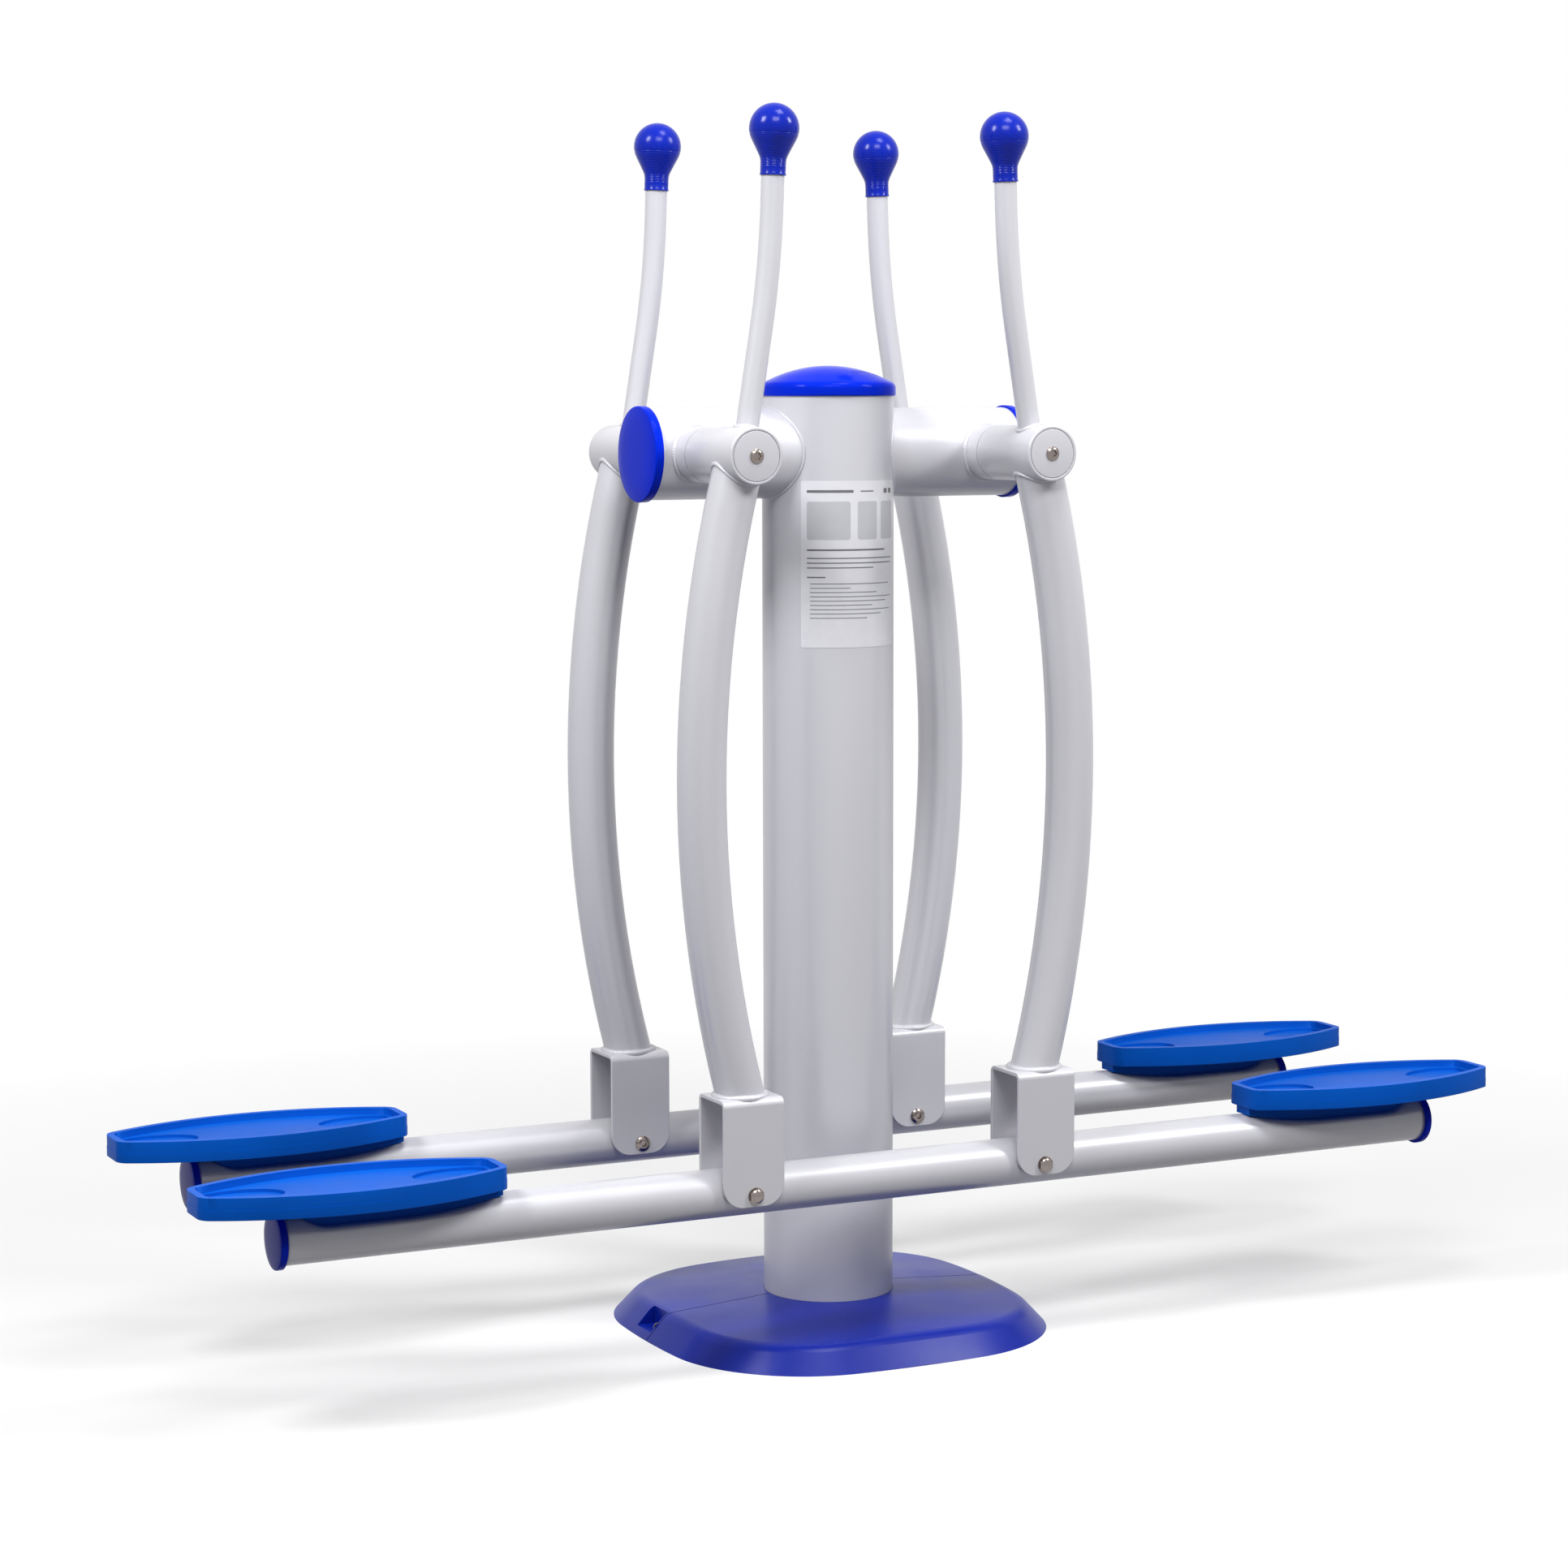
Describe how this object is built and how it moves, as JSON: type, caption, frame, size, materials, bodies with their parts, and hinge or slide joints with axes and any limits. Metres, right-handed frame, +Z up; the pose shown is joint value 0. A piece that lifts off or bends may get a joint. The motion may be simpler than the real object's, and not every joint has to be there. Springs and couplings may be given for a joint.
{
  "type": "outdoor air walker",
  "caption": "Outdoor air walker: a round column with a crossbeam carries swinging arms with handles, and low foot beams with foot pads hang between the arms.",
  "frame": {"origin": "on the ground, under the axis of the column, at the middle of the base flange's underside", "axes": "+Z up along the column, +X to the right along the foot beams (the longest extent), +Y from the front foot beam to the rear one (the shortest extent)"},
  "size_m": [1.81, 0.522, 1.5525],
  "materials": {
    "silver_paint": "silver-grey powder coat, satin",
    "zinc_steel": "hot-dip galvanised, dull",
    "stainless": "stainless steel, slightly polished",
    "bearing_steel": "ground bearing steel",
    "bush_polymer": "plain bearing polymer",
    "blue_pad": "moulded, matt with a fine grain",
    "dark_blue_cover": "moulded, satin with a fine grain",
    "blue_cap": "moulded, glossy",
    "blue_knob": "moulded, glossy with fine grip grooves"
  },
  "bodies": {
    "frame": {"column": "silver_paint", "column_cap": "blue_cap", "base_flange": "zinc_steel", "base_cover_front": "dark_blue_cover", "base_cover_rear": "dark_blue_cover", "base_cover_screws": "stainless", "crossbeam": "silver_paint", "crossbeam_cap_left": "blue_cap", "crossbeam_cap_right": "blue_cap", "axle_left": "silver_paint", "axle_right": "silver_paint", "axle_screws": "stainless", "axle_disc_front_left": "silver_paint", "axle_disc_front_right": "silver_paint", "axle_disc_rear_left": "silver_paint", "axle_disc_rear_right": "silver_paint"},
    "front_left_arm": {"front_left_hub": "silver_paint", "front_left_bearings": "bearing_steel", "front_left_leg": "silver_paint", "front_left_handle": "silver_paint", "front_left_knob": "blue_knob", "front_left_clevis": "silver_paint", "front_left_pivot_bolt": "stainless"},
    "front_right_arm": {"front_right_hub": "silver_paint", "front_right_bearings": "bearing_steel", "front_right_leg": "silver_paint", "front_right_handle": "silver_paint", "front_right_knob": "blue_knob", "front_right_clevis": "silver_paint", "front_right_pivot_bolt": "stainless"},
    "front_beam": {"front_beam_tube": "silver_paint", "front_beam_bushes": "bush_polymer", "front_beam_pad_bolts": "stainless", "front_beam_pad_left": "blue_pad", "front_beam_pad_right": "blue_pad", "front_beam_cap_left": "blue_cap", "front_beam_cap_right": "blue_cap"},
    "rear_left_arm": {"rear_left_hub": "silver_paint", "rear_left_bearings": "bearing_steel", "rear_left_leg": "silver_paint", "rear_left_handle": "silver_paint", "rear_left_knob": "blue_knob", "rear_left_clevis": "silver_paint", "rear_left_pivot_bolt": "stainless"},
    "rear_right_arm": {"rear_right_hub": "silver_paint", "rear_right_bearings": "bearing_steel", "rear_right_leg": "silver_paint", "rear_right_handle": "silver_paint", "rear_right_knob": "blue_knob", "rear_right_clevis": "silver_paint", "rear_right_pivot_bolt": "stainless"},
    "rear_beam": {"rear_beam_tube": "silver_paint", "rear_beam_bushes": "bush_polymer", "rear_beam_pad_bolts": "stainless", "rear_beam_pad_left": "blue_pad", "rear_beam_pad_right": "blue_pad", "rear_beam_cap_left": "blue_cap", "rear_beam_cap_right": "blue_cap"}
  },
  "joints": [
    {"name": "front_left_arm_swing", "type": "hinge", "parent": "frame", "child": "front_left_arm", "pos_m": [-0.2045, -0.173, 1.13], "axis": [0, 1, 0], "range_deg": [-45, 45]},
    {"name": "front_right_arm_swing", "type": "hinge", "parent": "frame", "child": "front_right_arm", "pos_m": [0.2045, -0.173, 1.13], "axis": [0, 1, 0], "range_deg": [-45, 45]},
    {"name": "front_beam_pivot", "type": "hinge", "parent": "front_left_arm", "child": "front_beam", "pos_m": [-0.2045, -0.173, 0.226], "axis": [0, 1, 0], "range_deg": [-45, 45]},
    {"name": "rear_left_arm_swing", "type": "hinge", "parent": "frame", "child": "rear_left_arm", "pos_m": [-0.2045, 0.173, 1.13], "axis": [0, 1, 0], "range_deg": [-45, 45]},
    {"name": "rear_right_arm_swing", "type": "hinge", "parent": "frame", "child": "rear_right_arm", "pos_m": [0.2045, 0.173, 1.13], "axis": [0, 1, 0], "range_deg": [-45, 45]},
    {"name": "rear_beam_pivot", "type": "hinge", "parent": "rear_left_arm", "child": "rear_beam", "pos_m": [-0.2045, 0.173, 0.226], "axis": [0, 1, 0], "range_deg": [-45, 45]}
  ],
  "couplings": [
    {"joint": "front_right_arm_swing", "follows": "front_left_arm_swing", "ratio": 1},
    {"joint": "front_beam_pivot", "follows": "front_left_arm_swing", "ratio": -1},
    {"joint": "rear_right_arm_swing", "follows": "rear_left_arm_swing", "ratio": 1},
    {"joint": "rear_beam_pivot", "follows": "rear_left_arm_swing", "ratio": -1}
  ]
}
